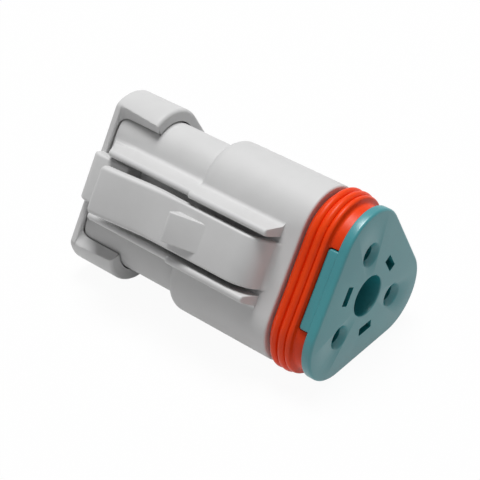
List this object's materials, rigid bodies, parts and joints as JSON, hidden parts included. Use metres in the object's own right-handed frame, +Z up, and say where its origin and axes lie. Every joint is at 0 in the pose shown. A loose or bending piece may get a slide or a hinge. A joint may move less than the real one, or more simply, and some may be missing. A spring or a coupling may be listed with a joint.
{
  "type": "sealed automotive connector",
  "caption": "Sealed plug connector with a sprung latch lever between guard rails, a wedge lock in the mating face, a ribbed interface seal and a rear cap with wire holes.",
  "frame": {"origin": "on the plug's axis, at the mating face of the wedge lock's plate", "axes": "+X along the axis, out of the mating face; +Z up as the plug lies on one of its flat sides; the latch lever faces up and towards -Y"},
  "size_m": [0.0389, 0.0264, 0.0225],
  "materials": {
    "body": "fine-grained moulded plastic, light grey",
    "latch": "fine-grained moulded plastic, light grey",
    "cap": "fine-grained moulded plastic, light grey",
    "wedge": "satin moulded plastic, teal",
    "face_seal": "satin silicone, orange-red",
    "rear_seal": "satin silicone, orange-red",
    "contact": "tin-plated copper alloy",
    "hood": "drawn stainless steel"
  },
  "bodies": {
    "plug": {"housing": "body", "interface_seal": "face_seal", "rear_cap": "cap", "wire_seal": "rear_seal", "contact_1": "contact", "contact_2": "contact", "contact_3": "contact", "contact_hood_1": "hood", "contact_hood_2": "hood", "contact_hood_3": "hood"},
    "lever": {"latch_lever": "latch"},
    "wedge": {"wedge_lock": "wedge"}
  },
  "joints": [
    {"name": "latch_press", "type": "hinge", "parent": "plug", "child": "lever", "pos_m": [-0.0097, -0.00849, 0.0049], "axis": [0, -0.5, -0.866], "range_deg": [0, 6], "stiffness_Nm_per_rad": 2.5},
    {"name": "wedge_pull", "type": "slide", "parent": "plug", "child": "wedge", "axis": [1, 0, 0], "range_m": [0, 0.009]}
  ]
}
